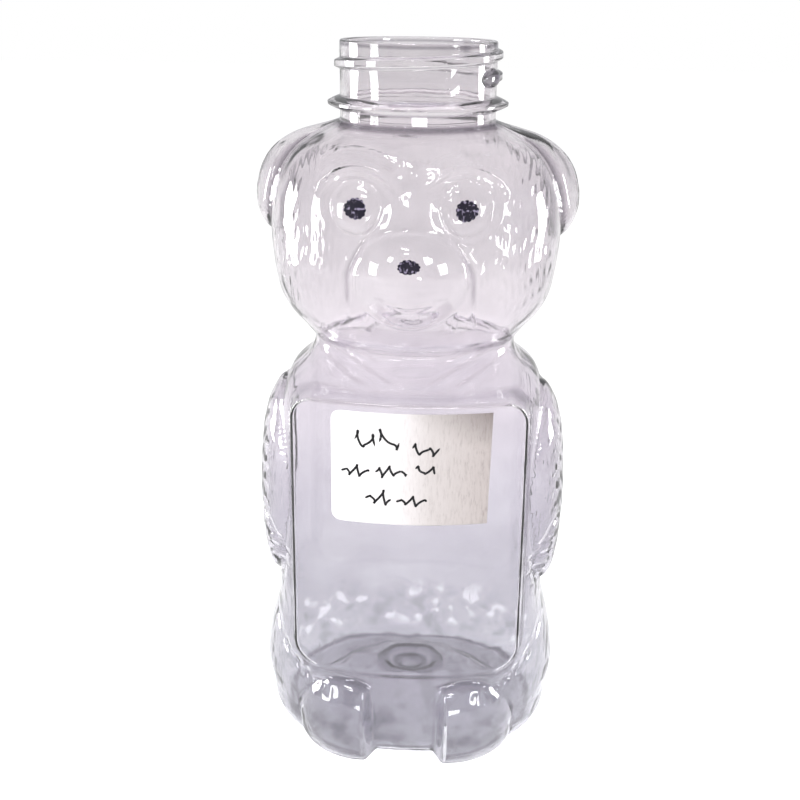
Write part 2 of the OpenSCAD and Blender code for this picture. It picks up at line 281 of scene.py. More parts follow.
def back_depth(x, z):
    """How far the skin stands behind the neck's axis, with a wavy heel."""
    share = panel_share(x, z, 1.6)
    bowed = TRUNK_D * 1.01 - PANEL_BOW * (2 * x / PANEL_WIDTH) ** 2
    wave = np.sin(x / 1.9 + 2 * np.sin(z / 2.6)) * np.sin(z / 1.5 + 1.6 * np.sin(x / 3.1))
    heel = dome(x, z, 4, 13, 26, 8, 0.75, 0.7) * (1 + wave)
    return plain_depth(x, z, 3) * (1 - share) + bowed * share - heel


def side_reach(y, z):
    """Ears with a shallow hollow, and arms with a paw, standing out sideways."""
    ear = dome(y, z, *EAR_OVAL, EAR_REACH, 0.6) * (1 - step_up(BODY_HEIGHT - 3.5, BODY_HEIGHT, z))
    hollow = dome(y, z, -1.5, 135, 4.6, 8, 1.1, 0.8)
    arm = dome(y, z, *ARM_OVAL, ARM_REACH, 0.42)
    paw_edge = groove(np.hypot((y + 11) / 6.5, (z - 48) / 8.5) - 1, 0.09, 0.7)
    fingers = groove(np.mod(z - 43, 3.6) - 1.8, 0.45, 0.6) * dome(y, z, -16, 47, 4, 6.5, 1, 0.5)
    return ear - hollow + arm - paw_edge - fingers


def fur(u, z):
    """Short upright ripples of moulded fur, from 0 to 1."""
    sway = 1.1 * np.sin(z / 2.3) + 0.7 * np.sin(z / 1.1 + u / 3)
    strand = 0.5 + 0.5 * np.sin(2 * pi * u / 1.5 + sway)
    lock = 0.5 + 0.5 * np.sin(2 * pi * z / 4.6 + 2.4 * np.sin(u / 1.6))
    return strand * lock


def skin_point(angle, z):
    """Point of the outside of the bear, at an angle round the bottle and a level."""
    n = smooth_through(STATIONS, 4, z)
    c = np.cos(angle)
    x = smooth_through(STATIONS, 1, z) * np.sign(c) * np.abs(c) ** (2 / n)
    y = np.where(np.sin(angle) < 0, -front_depth(x, z), back_depth(x, z))
    outward = np.sign(x) * side_reach(y, z) * step_up(0.2, 0.6, np.abs(c))
    return x + outward, y


def add_mesh(name, points, quads, material):
    """Mesh object from points in millimetres and an array of quads."""
    mesh = bpy.data.meshes.new(name)
    mesh.vertices.add(len(points))
    placed = points * MM + np.array([0, SETBACK, 0])
    mesh.vertices.foreach_set("co", placed.astype(np.float32).ravel())
    quads = np.asarray(quads, dtype=np.int32)
    corners = quads.shape[1]
    mesh.loops.add(quads.size)
    mesh.loops.foreach_set("vertex_index", quads.ravel())
    mesh.polygons.add(len(quads))
    mesh.polygons.foreach_set("loop_start", np.arange(len(quads), dtype=np.int32) * corners)
    mesh.update(calc_edges=True)
    mesh.validate()
    mesh.polygons.foreach_set("use_smooth", [True] * len(mesh.polygons))
    mesh.materials.append(material)
    piece = bpy.data.objects.new(name, mesh)
    bpy.context.scene.collection.objects.link(piece)
    return piece


def column_angles(count):
    """Angles round the bottle, closer together at the panel corners and across the face."""
    spot = np.array([0, 2, 6, 9, 12.5, 16, 18, 20, 24, 27.5, 30, 34, 36]) / 36
    away = np.radians([0, 10, 28, 42, 55, 78, 90, 100, 122, 134, 145, 168, 180])
    t = (np.arange(count // 2) + 0.5) / (count // 2)
    half = np.interp(t, spot, away)
    return np.concatenate([-pi / 2 - half[::-1], -pi / 2 + half])


def blur(grid, passes):
    """Evens out a grid of points that closes on itself along its columns."""
    for _ in range(passes):
        grid = (np.roll(grid, 1, axis=1) + 2 * grid + np.roll(grid, -1, axis=1)) / 4
        grid[1:-1] = (grid[:-2] + 2 * grid[1:-1] + grid[2:]) / 4
    return grid


def grid_normals(grid):
    along = np.roll(grid, -1, axis=1) - np.roll(grid, 1, axis=1)
    up = np.gradient(grid, axis=0)
    normal = np.cross(along, up)
    return normal / np.maximum(np.linalg.norm(normal, axis=2, keepdims=True), 1e-9)


def painted_shade_places(grid):
    """Painted shade, from 0 to 1: lines in creases and along the panel's edges, heavier on its right, over
    the right arm, at the feet, and a darker base with rings.
    """
    x, y, z = grid[:, :, 0], grid[:, :, 1], grid[:, :, 2]
    m = np.abs(x)
    front = 1 - step_up(-3, 0, y)
    neck_root = groove(z - BODY_HEIGHT + 0.45, 0.4, 0.35 + 0.55 * (y < 0))
    fold = groove(m - muzzle_half(z), 0.45, 0.3) * band(110, 114, 121, 126, z) * front
    throat = groove(z - 99.8, 1.0, 0.6) * step_up(8, 21, m) * (1 - step_up(-6, 3, y))
    # Painted shade along the panel's outline, heavier at its left side and most on its right side
    weight = (0.13 + 0.08 * (x < 0) * step_up(20, 26, m) + 0.28 * step_up(19, 26, x)) * front + 0.04
    panel = groove(past_panel(x, z) - 0.3, 0.5, 1) * weight
    crease = groove(in_oval(y, z, *EAR_OVAL), 0.12, 0.55) * (m > 24) * (z < BODY_HEIGHT - 3)
    # Painted shade over the right arm
    right_arm_shade = dome(y, z, -4, 63.3, 17.5, 26, 0.13, 0.5) * (x > 28)
    foot = in_oval(m, z, *FOOT_OVAL)
    above_heel = np.arange(len(x))[:, None] >= UNDER_ROWS
    inner_wall = groove(m - 8.5, 0.5, 0.22) * (foot > 0.1) * (1 - step_up(14, 19, z))
    toe = (groove(foot, 0.08, 0.3) * (m > 8.5) * (1 - step_up(17, 22, m)) + inner_wall) * front * above_heel
    heel_reach = np.hypot(x[UNDER_ROWS], y[UNDER_ROWS])
    share = np.where(above_heel, 2, np.hypot(x, y) / heel_reach)
    base = (0.24 * (1 - step_up(0.80, 0.86, share)) + groove(share - 0.875, 0.025, 0.6)
            + groove(share - 0.2, 0.035, 0.34) + groove(share - 0.1, 0.03, 0.5))
    return np.clip(np.maximum.reduce([neck_root, fold, throat, panel, crease, right_arm_shade, toe]) + base, 0, 1)


def painted_shade_neck(grid):
    """Painted shade lines on the neck: under the rim, along the ring and the thread, and at the thread's
    start.
    """
    x, y, z = grid[:, :, 0], grid[:, :, 1], grid[:, :, 2]
    rise = (np.hypot(x, y) - NECK_R) / THREAD_DEPTH
    over_ring = z > RING_LEVEL + 3
    rim = groove(z - BOTTLE_HEIGHT + 0.9, 0.45, 0.75)
    ring = (groove(z - RING_LEVEL + 1.3, 0.4, 0.65) + groove(z - RING_LEVEL - 1.3, 0.35, 0.5)) * ~over_ring
    thread = groove(rise - 0.45, 0.3, 0.75) * over_ring
    around = np.arctan2(y, x) - FIRST_TURN - 0.2
    start = step_up(0.02, 0.3, rise) * over_ring * (z < THREAD_FOOT + 2.6) * groove(around, 0.24, 1)
    return np.clip(np.maximum.reduce([rim, ring, thread, start]), 0, 1)


def body_grid(angles):
    """Outside of the bear from the middle of its base up to the neck, without fur."""
    heel_x, heel_y = skin_point(angles, np.full(len(angles), HEEL_LEVEL))
    # share of the heel's reach, level: nub, gate ring, pushed-up middle, standing ring, heel
    profile = np.array([
        [0.01, PUSH_UP - 1.6], [0.05, PUSH_UP - 1.5], [0.09, PUSH_UP - 0.6], [0.14, PUSH_UP - 0.5],
        [0.19, PUSH_UP + 0.7], [0.215, PUSH_UP + 0.6], [0.25, PUSH_UP - 0.6], [0.46, PUSH_UP * 0.62],
        [0.62, PUSH_UP * 0.2], [0.69, 0.02], [0.77, 0.0], [0.85, 0.02], [0.94, 1.1],
        [0.985, 4.0], [0.999, 7.6]])
    share = np.interp(np.linspace(0, 1, UNDER_ROWS), np.linspace(0, 1, len(profile)), profile[:, 0])
    level = np.maximum(smooth_through(profile, 1, share), 0)
    sole_x = STATIONS[0, 1] * np.sign(np.cos(angles)) * np.abs(np.cos(angles)) ** 0.9
    sole_y = STATIONS[0, 2] * np.sign(np.sin(angles)) * np.abs(np.sin(angles)) ** 0.9
    toes = step_up(0.84, 0.95, share)
    under = np.stack([np.outer(share * toes, heel_x) + np.outer(share * (1 - toes), sole_x),
                      np.outer(share * toes, heel_y) + np.outer(share * (1 - toes), sole_y),
                      np.outer(level, np.ones(len(angles)))], axis=2)
    z = np.linspace(HEEL_LEVEL, BODY_HEIGHT, BODY_ROWS)[:, None] * np.ones(len(angles))
    x, y = skin_point(angles[None, :], z)
    return np.concatenate([under, np.stack([x, y, z], axis=2)])


def fur_height(grid):
    """Height of the moulded fur, cut into the skin, in millimetres."""
    x, y, z = grid[:, :, 0], grid[:, :, 1], grid[:, :, 2]
    m = np.abs(x)
    front = y < -6
    cheek = dome(m, z, 20.5, 120.5, 10.5, 11, 1, 0.5) * front * np.where(x > 0, 1, 0.7)
    brow = (dome(x, z, 12, 138.5, 17, 8.5, 1, 0.5) + dome(x, z, -19, 138, 8, 8, 0.4, 0.5)) * front
    arm = dome(y, z, -6, 68, 13, 19, 1, 0.5) * (m > 30)
    forearm = dome(y, z, -10, 46, 9, 12, 1, 0.5) * (m > 30)
    stroke = fur(np.where(front & (m < 30), x, y), z)
    slanted = fur(z * 0.8 + y * 0.6, y * 0.8 - z * 0.4)
    cut = 0.22 * stroke * np.maximum(cheek, 0.8 * brow) + 0.3 * stroke * arm + 0.26 * slanted * forearm
    return -cut


def neck_outside(angles):
    """Neck wall with its support ring and one thread ridge, from the body up to the lip."""
    z = np.linspace(BODY_HEIGHT, LIP_LEVEL, NECK_ROWS)[1:, None] * np.ones(len(angles))
    ring = np.clip((RING_HALF + 0.25 - np.abs(z - RING_LEVEL)) / (RING_HALF - 0.05), 0, 1)
    r = NECK_R + (RING_R - NECK_R) * ring ** 0.7
    turned = np.mod(angles - FIRST_TURN, 2 * pi)
    for lap in range(2):
        along = turned + lap * 2 * pi
        crest = THREAD_FOOT + THREAD_PITCH * along / (2 * pi)
        ends = step_up(0, 0.16, along) * (1 - step_up(-0.5, 0, along - (LAST_TURN - FIRST_TURN)))
        flank = np.clip((THREAD_HALF - np.abs(z - crest)) / 0.75, 0, 1)
        r = r + THREAD_DEPTH * ends * step_up(0, 1, flank)
    around = np.mod(angles - FIRST_TURN + pi, 2 * pi) - pi
    start = dome(around, z, 0.2, THREAD_FOOT + 0.3, 0.24, 2.0, THREAD_DEPTH + 0.25, 0.5)
    r = np.maximum(r, NECK_R + start)
    return np.stack([r * np.cos(angles), r * np.sin(angles), z], axis=2)


def ring_of(radius, level, angles):
    return np.stack([radius * np.cos(angles), radius * np.sin(angles), np.full(len(angles), level)], axis=1)


def make_bottle(material):
    """One closed skin: outside of the body and neck, over the lip, and down the inside."""
    angles = column_angles(COLUMNS)
    plain = body_grid(angles)
    outside = plain + grid_normals(plain) * fur_height(plain)[:, :, None]
    outside[-1] = plain[-1]
    even = blur(plain.copy(), 3)
    rows = len(plain)
    near_neck = step_up(BODY_HEIGHT - 12, BODY_HEIGHT, plain[:, :, 2])
    thickness = WALL + (NECK_R - BORE_R - WALL) * near_neck
    inside = even - grid_normals(even) * thickness[:, :, None]
    inside[-1] = ring_of(BORE_R, BODY_HEIGHT, angles)
    turn = np.linspace(0, pi / 2, 7)[1:]
    lip_out = [ring_of(NECK_R - LIP_ROUND * (1 - cos(t)), LIP_LEVEL + LIP_ROUND * sin(t), angles)
               for t in turn]
    lip_in = [ring_of(BORE_R + LIP_ROUND * (1 - sin(t)), LIP_LEVEL + LIP_ROUND * cos(t), angles)
              for t in turn]
    bore = [ring_of(BORE_R, level, angles) for level in np.linspace(LIP_LEVEL, BODY_HEIGHT, 24)[1:-1]]
    neck = neck_outside(angles)
    grid = np.concatenate([outside, neck, np.array(lip_out), np.array(lip_in),
                           np.array(bore), inside[::-1]])
    count, columns = grid.shape[:2]
    poles = np.array([[0, 0, outside[0, 0, 2]], [0, 0, outside[0, 0, 2] + WALL]])
    index = np.arange(count * columns).reshape(count, columns)
    following = np.roll(index, -1, axis=1)
    quads = np.stack([index[:-1], following[:-1], following[1:], index[1:]], axis=2).reshape(-1, 4)
    bottle = add_mesh("bottle", np.concatenate([grid.reshape(-1, 3), poles]), quads, material)
    # Painted shade of each point, kept on the mesh for the plastic's colour
    painted_shade = np.zeros(grid.shape[:2])
    painted_shade[:rows] = painted_shade_places(plain)
    painted_shade[rows:rows + len(neck)] = painted_shade_neck(neck)
    painted_shade[count - rows:] = painted_shade[:rows][::-1]
    places = bottle.data.attributes.new("painted_shade", "FLOAT", "POINT")
    places.data.foreach_set("value", np.append(painted_shade.ravel(), [POLE_SHADE, POLE_SHADE]).astype(np.float32))
    close_end(bottle, index[0], following[0], count * columns, True)
    close_end(bottle, index[-1], following[-1], count * columns + 1, False)
    return bottle


def close_end(piece, ring, following, pole, flip):
    """Closes one end of a tube of quads with a fan round its pole."""
    shape = bmesh.new()
    shape.from_mesh(piece.data)
    shape.verts.ensure_lookup_table()
    for a, b in zip(ring, following):
        corners = (a, pole, b) if flip else (a, b, pole)
        fan = shape.faces.new([shape.verts[int(k)] for k in corners])
        fan.smooth = True
    shape.to_mesh(piece.data)
    shape.free()


def sheet_on_front(name, x, z, lift, thickness, material):
    """Thin closed piece lying on the front of the bear, over a grid of x and level."""
    top = np.stack([x, -front_depth(x, z) - lift - thickness, z], axis=2)
    low = np.stack([x, -front_depth(x, z) - lift, z], axis=2)
    rows, columns = x.shape
    n = rows * columns
    index = np.arange(n).reshape(rows, columns)
    face = np.stack([index[:-1, :-1], index[:-1, 1:], index[1:, 1:], index[1:, :-1]], axis=2).reshape(-1, 4)
    rim = np.concatenate([index[0, :-1], index[:-1, -1], index[-1, :0:-1], index[:0:-1, 0]])
    following = np.roll(rim, -1)
    sides = np.stack([rim, rim + n, following + n, following], axis=1)
    return add_mesh(name, np.concatenate([top.reshape(-1, 3), low.reshape(-1, 3)]),
                    np.concatenate([face, face[:, ::-1] + n, sides]), material)


def make_label(material):
    """Paper label with two rounded left corners and a cut, slanted right end."""
    t = np.concatenate([np.linspace(0, 0.085, 14)[:-1], np.linspace(0.085, 0.915, 30),
                        np.linspace(0.915, 1, 14)[1:]])
    corner = np.maximum(0, LABEL_ROUND - np.minimum(t, 1 - t) * LABEL_HEIGHT)
    left = -LABEL_LEFT + LABEL_ROUND - np.sqrt(LABEL_ROUND ** 2 - corner ** 2)
    right = LABEL_LENGTH - LABEL_LEFT - LABEL_SLANT * (1 - t)
    s = np.linspace(0, 1, 70)
    x = left[:, None] + (right - left)[:, None] * s
    z = (LABEL_LEVEL + t * LABEL_HEIGHT)[:, None] * np.ones(len(s))
    return sheet_on_front("price_label", x, z, SKIN_GAP, LABEL_PAPER, material)


def make_ink_spot(name, cx, cz, width, height, seed, material):
    """Printed spot whose edge is scalloped by the dots of the print."""
    ring = np.linspace(0, 1, 16)[:, None]
    turn = np.linspace(0, 2 * pi, 145)[None, :]
    scallop = 0.83 + 0.14 * np.abs(np.sin(turn * 6.5 + seed)) ** 0.7 + 0.03 * np.sin(turn * 3 + 2 * seed)
    x = cx + ring * scallop * width / 2 * np.cos(turn)
    z = cz + ring * scallop * height / 2 * np.sin(turn)
    return sheet_on_front(name, x, z, SKIN_GAP, INK, material)


def make_pen_line(name, path, material):
    """Flat pen line with round ends on the label, along a path of x and level."""
    path = np.array(path)
    along = np.gradient(path, axis=0)
    along /= np.linalg.norm(along, axis=1, keepdims=True)
    across = np.stack([-along[:, 1], along[:, 0]], axis=1)
    from_middle = np.abs(np.linspace(-1, 1, len(path)))
    into_end = np.maximum(0, from_middle - 1 + PEN_ROUND_END) / PEN_ROUND_END
    half = PEN_WIDTH / 2 * np.sqrt(np.clip(1 - into_end ** 2, 0.02, 1))
    side = np.linspace(-1, 1, 5)
    x = path[:, 0, None] + across[:, 0, None] * half[:, None] * side
    z = path[:, 1, None] + across[:, 1, None] * half[:, None] * side
    return sheet_on_front(name, x, z, SKIN_GAP + LABEL_PAPER, PEN_INK_DEPTH, material)


def scribble(x0, x1, level, height, waves, slant):
    """Path of one wavy pen stroke, with no letter in it."""
    t = np.linspace(0, 1, 40 * max(1, int(waves)))
    turn = 2 * pi * waves * t + 0.5 * np.sin(2 * pi * t + x0)
    swing = np.sin(turn) * (0.62 + 0.38 * np.sin(7 * t + x0))
    x = x0 + (x1 - x0) * t + slant * swing * height / 2 + 0.07 * height * np.sin(2 * turn)
    z = level + swing * height / 2
    return np.stack([x, z], axis=1)


def new_material(name):
    material = bpy.data.materials.new(name)
    material.use_nodes = True
    nodes = material.node_tree.nodes
    nodes.clear()
    return material, nodes, material.node_tree.links


def add_node(nodes, kind, **values):
    node = nodes.new(kind)
    for key, value in values.items():
        if key in node.inputs:
            node.inputs[key].default_value = value
        else:
            setattr(node, key, value)
    return node


def ramp(nodes, links, source, stops):
    node = nodes.new("ShaderNodeValToRGB")
    while len(node.color_ramp.elements) < len(stops):
        node.color_ramp.elements.new(0.5)
    for element, (place, colour) in zip(node.color_ramp.elements, stops):
        element.position = place
        element.color = (*colour, 1)
    links.new(source, node.inputs["Fac"])
    return node.outputs["Color"]


def map_range(nodes, links, source, low, high, to_low=0.0, to_high=1.0):
    """Spreads the values between two limits over two others, and stops at them."""
    node = nodes.new("ShaderNodeMapRange")
    node.inputs["From Min"].default_value = low
    node.inputs["From Max"].default_value = high
    node.inputs["To Min"].default_value = to_low
    node.inputs["To Max"].default_value = to_high
    links.new(source, node.inputs["Value"])
    return node.outputs["Result"]


def calculate(nodes, links, operation, *values):
    """One maths node on sockets and plain numbers, in the order its operation takes them."""
    node = add_node(nodes, "ShaderNodeMath", operation=operation)
    for socket, value in zip(node.inputs, values):
        if isinstance(value, float):
            socket.default_value = value
        else:
            links.new(value, socket)
    return node.outputs["Value"]


def multiply_colours(nodes, links, first, second, factor=None):
    node = add_node(nodes, "ShaderNodeMix", data_type="RGBA", blend_type="MULTIPLY")
    node.inputs["Factor"].default_value = 1.0
    if factor is not None:
        links.new(factor, node.inputs["Factor"])
    links.new(first, node.inputs["A"])
    links.new(second, node.inputs["B"])
    return node.outputs["Result"]


def noise(nodes, links, vector, scale, detail, roughness):
    node = add_node(nodes, "ShaderNodeTexNoise", Scale=scale, Detail=detail, Roughness=roughness)
    links.new(vector, node.inputs["Vector"])
    return node.outputs["Fac"]


def bumped(nodes, links, height, strength, distance):
    node = add_node(nodes, "ShaderNodeBump", Strength=strength, Distance=distance)
    links.new(height, node.inputs["Height"])
    return node.outputs["Normal"]


def show(nodes, links, shader):
    out = nodes.new("ShaderNodeOutputMaterial")
    links.new(shader, out.inputs["Surface"])


def object_places(nodes):
    """Place on the piece in metres, which keeps the grain in place when the piece is moved."""
    return nodes.new("ShaderNodeTexCoord").outputs["Object"]


def along_axes(nodes, links, vector):
    split = nodes.new("ShaderNodeSeparateXYZ")
    links.new(vector, split.inputs["Vector"])
    return split.outputs


def fine_scratches():
    """Node group: hairline scratches and haze, as a mask and a height."""
    group = bpy.data.node_groups.new("FineScratches", "ShaderNodeTree")
    group.interface.new_socket("Vector", in_out="INPUT", socket_type="NodeSocketVector")
    scale_in = group.interface.new_socket("Scale", in_out="INPUT", socket_type="NodeSocketFloat")
    scale_in.default_value = 1.0
    group.interface.new_socket("Scratches", in_out="OUTPUT", socket_type="NodeSocketFloat")
    group.interface.new_socket("Haze", in_out="OUTPUT", socket_type="NodeSocketFloat")
    nodes = group.nodes
    links = group.links
    source = nodes.new("NodeGroupInput")
    result = nodes.new("NodeGroupOutput")
    scaled = add_node(nodes, "ShaderNodeVectorMath", operation="SCALE")
    links.new(source.outputs["Vector"], scaled.inputs[0])
    links.new(source.outputs["Scale"], scaled.inputs["Scale"])
    stretched = add_node(nodes, "ShaderNodeMapping", Rotation=(0.4, 0.3, 0.9), Scale=(900, 60, 90))
    links.new(scaled.outputs["Vector"], stretched.inputs["Vector"])
    lines = noise(nodes, links, stretched.outputs["Vector"], 1.0, 2.0, 0.6)
    links.new(map_range(nodes, links, lines, 0.62, 0.7), result.inputs["Scratches"])
    haze = noise(nodes, links, scaled.outputs["Vector"], 55.0, 4.0, 0.55)
    links.new(haze, result.inputs["Haze"])
    return group


def add_scratches(nodes, links, vector, scratches, scale):
    marks = nodes.new("ShaderNodeGroup")
    marks.node_tree = scratches
    marks.inputs["Scale"].default_value = scale
    links.new(vector, marks.inputs["Vector"])
    return marks.outputs


def make_clear_plastic(scratches):
    """Clear blown plastic: pale lilac, with painted shade by height that greys it towards its foot, painted
    shade lines, painted glints and a wavy wall.
    """
    material, nodes, links = new_material("clear_plastic")
    vector = object_places(nodes)
    marks = add_scratches(nodes, links, vector, scratches, 1.0)
    axes = along_axes(nodes, links, vector)
    level = map_range(nodes, links, axes["Z"], 0.0, BOTTLE_HEIGHT * MM)
    # Tint from the table to the rim, with painted shade that darkens and lightens it by height
    tint = ramp(nodes, links, level, [
        (0.0, (0.62, 0.62, 0.64)), (0.12, (0.70, 0.695, 0.725)), (0.27, (0.66, 0.645, 0.69)),
        (0.42, (0.77, 0.745, 0.79)), (0.57, (0.86, 0.82, 0.86)), (0.67, (0.86, 0.83, 0.855)),
        (0.78, (0.80, 0.77, 0.795)), (0.88, (0.88, 0.845, 0.87)), (1.0, (0.83, 0.81, 0.825))])
    clouds = noise(nodes, links, vector, 34.0, 3.0, 0.6)
    cloud_shade = ramp(nodes, links, clouds, [(0.36, (0.9, 0.895, 0.905)), (0.6, WHITE)])
    tint = multiply_colours(nodes, links, tint, cloud_shade)
    # Painted shade where the wall is seen edge on, for dark contours
    grazing = add_node(nodes, "ShaderNodeLayerWeight", Blend=0.35)
    edge = ramp(nodes, links, grazing.outputs["Facing"], [
        (0.0, WHITE), (0.68, (0.98, 0.98, 0.985)), (0.88, (0.84, 0.83, 0.87)), (1.0, (0.34, 0.32, 0.4))])
    tint = multiply_colours(nodes, links, tint, edge)
    # Painted shade in creases, along edges, on the neck and over the base
    painted_shade_lines = add_node(nodes, "ShaderNodeAttribute", attribute_name="painted_shade")
    dark = ramp(nodes, links, painted_shade_lines.outputs["Fac"], [
        (0.0, WHITE), (0.35, (0.62, 0.6, 0.63)), (1.0, (0.07, 0.06, 0.09))])
    tint = multiply_colours(nodes, links, tint, dark)
    # Blotches in the foot, and painted glints as pale spots low on the back heel
    ripple = noise(nodes, links, vector, 70.0, 2.0, 0.5)
    dimples = noise(nodes, links, vector, 210.0, 1.0, 0.5)
    blotches = ramp(nodes, links, dimples, [(0.33, (0.76, 0.76, 0.77)), (0.5, WHITE)])
    tint = multiply_colours(nodes, links, tint, blotches, map_range(nodes, links, level, 0.11, 0.06))
    band = ramp(nodes, links, level, [(0.015, BLACK), (0.03, WHITE), (0.08, WHITE), (0.11, BLACK)])
    behind = map_range(nodes, links, axes["Y"], 0.014, 0.022)
    spots = ramp(nodes, links, dimples, [(0.58, BLACK), (0.63, WHITE)])
    pale = calculate(nodes, links, "MULTIPLY", calculate(nodes, links, "MULTIPLY", band, behind), spots)
    # Painted glints: the tint turns nearly white on the spots
    painted_glints = add_node(nodes, "ShaderNodeMix", data_type="RGBA")
    painted_glints.inputs["B"].default_value = (0.98, 0.98, 1.0, 1)
    links.new(pale, painted_glints.inputs["Factor"])
    links.new(tint, painted_glints.inputs["A"])
    # Wavy wall, with dimples near the foot
    dimpled = map_range(nodes, links, level, 0.25, 0.12, 0.05, 0.4)
    wavy = calculate(nodes, links, "MULTIPLY_ADD", dimples, dimpled, ripple)
    height = calculate(nodes, links, "MULTIPLY_ADD", marks["Scratches"], 0.03, wavy)
    body = add_node(nodes, "ShaderNodeBsdfPrincipled")
    body.inputs["Transmission Weight"].default_value = 1.0
    body.inputs["IOR"].default_value = 1.57
    links.new(painted_glints.outputs["Result"], body.inputs["Base Color"])
    links.new(map_range(nodes, links, marks["Haze"], 0.35, 0.75, 0.015, 0.07), body.inputs["Roughness"])
    links.new(bumped(nodes, links, height, 0.35, 0.0012), body.inputs["Normal"])
    # Light passes through to what the bottle shades
    clear = add_node(nodes, "ShaderNodeBsdfTransparent", Color=(0.93, 0.93, 0.95, 1))
    shadow_ray = nodes.new("ShaderNodeLightPath").outputs["Is Shadow Ray"]
    show(nodes, links, mix_shaders(nodes, links, shadow_ray, body.outputs["BSDF"], clear.outputs["BSDF"]))
    return material


def make_paper():
    """White sticker paper, fibrous, with painted shade that greys it towards its cut right end and its top
    right corner.
    """
    material, nodes, links = new_material("label_paper")
    vector = object_places(nodes)
    axes = along_axes(nodes, links, vector)
    across = map_range(nodes, links, axes["X"], -LABEL_LEFT * MM, (LABEL_LENGTH - LABEL_LEFT) * MM)
    # Painted shade, greyer towards the right end
    painted_side_shade = ramp(nodes, links, across, [
        (0.0, (0.90, 0.89, 0.89)), (0.38, (0.79, 0.76, 0.77)),
        (0.62, (0.58, 0.54, 0.535)), (1.0, (0.48, 0.43, 0.42))])
    # Painted shade, darker in the top right corner
    up = map_range(nodes, links, axes["Z"], (LABEL_LEVEL + 10) * MM, (LABEL_LEVEL + LABEL_HEIGHT) * MM)
    corner = calculate(nodes, links, "MULTIPLY", across, up)
    painted_corner_shade = ramp(nodes, links, corner, [(0.45, WHITE), (1.0, (0.5, 0.48, 0.48))])
    painted_side_shade = multiply_colours(nodes, links, painted_side_shade, painted_corner_shade)
    grain = add_node(nodes, "ShaderNodeMapping", Scale=(2300, 1200, 420))
    links.new(vector, grain.inputs["Vector"])
    fibre = noise(nodes, links, grain.outputs["Vector"], 1.0, 5.0, 0.7)
    fibre_shade = ramp(nodes, links, fibre, [
        (0.3, (0.66, 0.64, 0.64)), (0.48, (0.93, 0.92, 0.92)), (0.7, WHITE)])
    body = add_node(nodes, "ShaderNodeBsdfPrincipled", Roughness=0.82)
    links.new(multiply_colours(nodes, links, painted_side_shade, fibre_shade, across), body.inputs["Base Color"])
    links.new(bumped(nodes, links, fibre, 0.4, 0.00006), body.inputs["Normal"])
    show(nodes, links, body.outputs["BSDF"])
    return material


def make_ink(name, dark, worn, wear_from, scratches):
    """Ink with small worn flecks, thinner along the rows of the print."""
    material, nodes, links = new_material(name)
    vector = object_places(nodes)
    marks = add_scratches(nodes, links, vector, scratches, 3.0)
    dots = add_node(nodes, "ShaderNodeTexVoronoi", Scale=1900.0)
    links.new(vector, dots.inputs["Vector"])
    flecks = noise(nodes, links, vector, 1500.0, 3.0, 0.6)
    scratched = calculate(nodes, links, "MULTIPLY", marks["Scratches"], 0.72)
    wear = calculate(nodes, links, "MAXIMUM", flecks, scratched)
    rows = add_node(nodes, "ShaderNodeTexWave", wave_type="BANDS", bands_direction="Z",
                    Scale=165.0, Distortion=3.0)
    rows.inputs["Detail Scale"].default_value = 2.5
    links.new(vector, rows.inputs["Vector"])
    gaps = calculate(nodes, links, "POWER", rows.outputs["Fac"], 6.0)
    worn_rows = calculate(nodes, links, "MULTIPLY_ADD", gaps, 0.12, wear)
    colour = ramp(nodes, links, worn_rows, [(0.0, dark), (wear_from, dark), (wear_from + 0.05, worn)])
    body = add_node(nodes, "ShaderNodeBsdfPrincipled", Roughness=0.5)
    body.inputs["Specular IOR Level"].default_value = 0.2
    links.new(colour, body.inputs["Base Color"])
    links.new(bumped(nodes, links, dots.outputs["Distance"], 0.5, 0.00008), body.inputs["Normal"])
    show(nodes, links, body.outputs["BSDF"])
    return material


def seen_directly(nodes, links):
    """1 for rays from the camera and those sent through the plastic, less for those reflected off it."""
    rays = nodes.new("ShaderNodeLightPath").outputs
    through = calculate(nodes, links, "MAXIMUM", rays["Is Camera Ray"], rays["Is Transmission Ray"])
    reflected = calculate(nodes, links, "MULTIPLY", rays["Is Glossy Ray"], GLOSSY_SHARE)
    return calculate(nodes, links, "MAXIMUM", through, reflected)


def mix_shaders(nodes, links, factor, first, second):
    node = nodes.new("ShaderNodeMixShader")
    links.new(factor, node.inputs["Fac"])
    links.new(first, node.inputs[1])
    links.new(second, node.inputs[2])
    return node.outputs["Shader"]


def make_floor():
    """Pale floor that reads as white and keeps a soft shadow."""
    mesh = bpy.data.meshes.new("studio_floor")
    corners = [(-1, -1), (1, -1), (1, 1), (-1, 1)]
    mesh.from_pydata([(FLOOR_HALF * x, FLOOR_HALF * y, FLOOR_LEVEL) for x, y in corners], [], [(0, 1, 2, 3)])
    floor = bpy.data.objects.new("studio_floor", mesh)
    bpy.context.scene.collection.objects.link(floor)
    material, nodes, links = new_material("studio_white")
    mesh.materials.append(material)
    matte = add_node(nodes, "ShaderNodeBsdfDiffuse", Color=(0.8, 0.8, 0.8, 1))
    lift = add_node(nodes, "ShaderNodeEmission", Strength=FLOOR_LIFT)
    both = nodes.new("ShaderNodeAddShader")
    links.new(matte.outputs["BSDF"], both.inputs[0])
    links.new(lift.outputs["Emission"], both.inputs[1])
    seen = seen_directly(nodes, links)
    show(nodes, links, mix_shaders(nodes, links, seen, matte.outputs["BSDF"], both.outputs["Shader"]))


